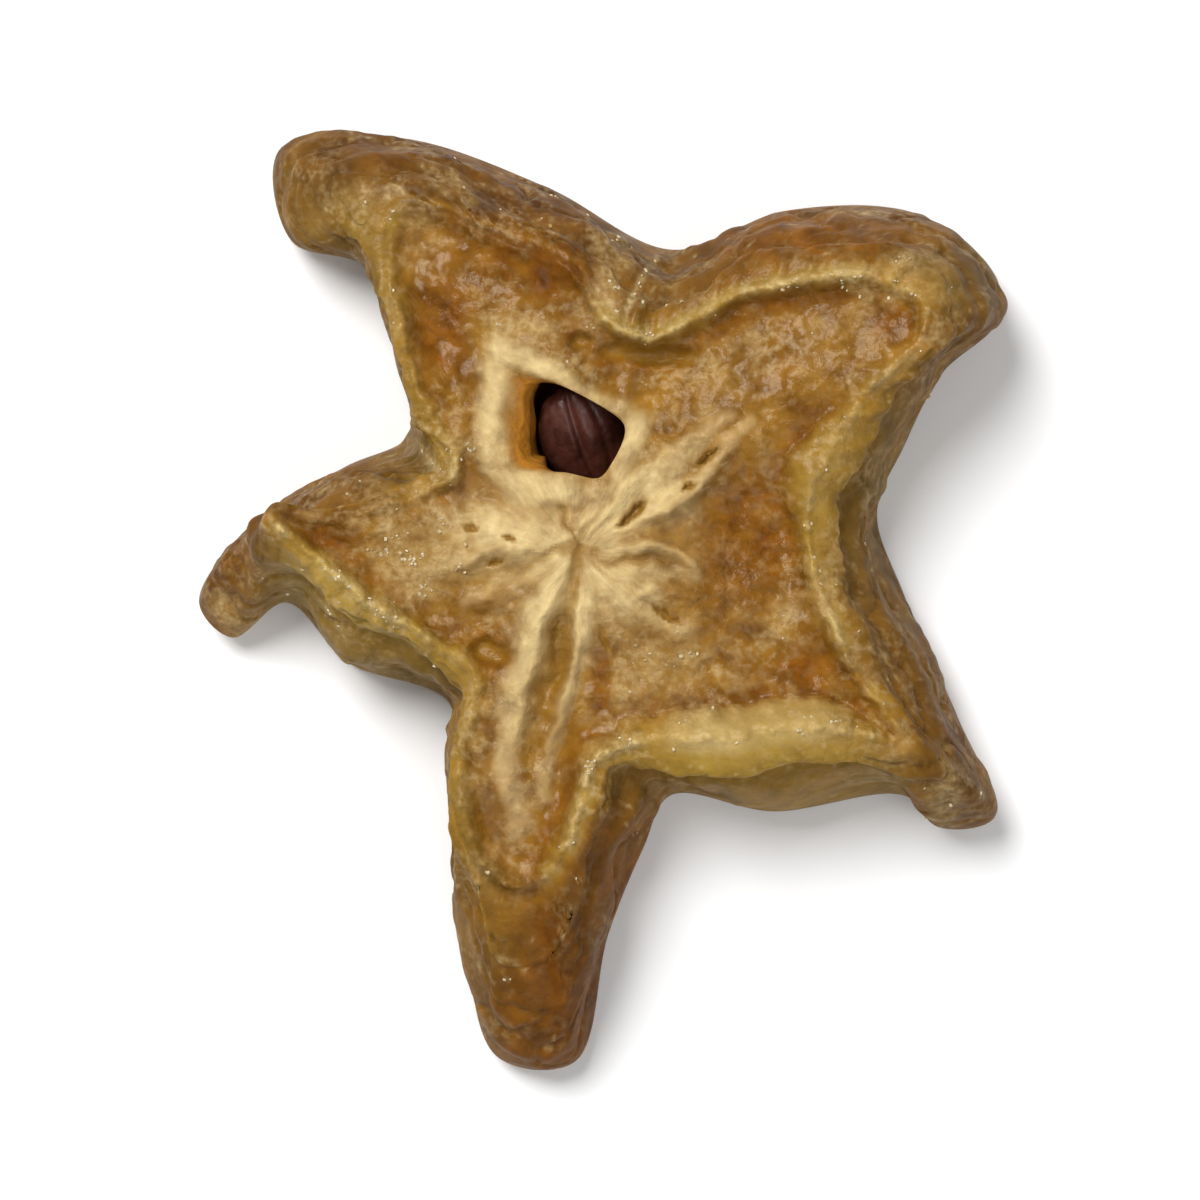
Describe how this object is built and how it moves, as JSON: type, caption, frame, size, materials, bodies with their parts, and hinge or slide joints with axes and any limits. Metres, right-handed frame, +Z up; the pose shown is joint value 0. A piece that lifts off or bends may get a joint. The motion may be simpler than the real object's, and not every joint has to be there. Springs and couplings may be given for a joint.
{
  "type": "dried star fruit slice",
  "caption": "Dried sugared slice of star fruit with ribbed star outline, pale core and an open seed chamber holding a loose dark seed.",
  "frame": {"origin": "middle of the slice's bounding box, on the surface it lies on", "axes": "+Z up out of the narrower cut face, +Y towards the two upper ribs and along the longest extent"},
  "size_m": [0.0452, 0.0528, 0.0115],
  "materials": {
    "dried_flesh": "translucent amber, sugared, semi-gloss",
    "seed_coat": "smooth dark brown, satin"
  },
  "bodies": {
    "root": {"slice": "dried_flesh", "seed": "seed_coat"}
  },
  "joints": []
}
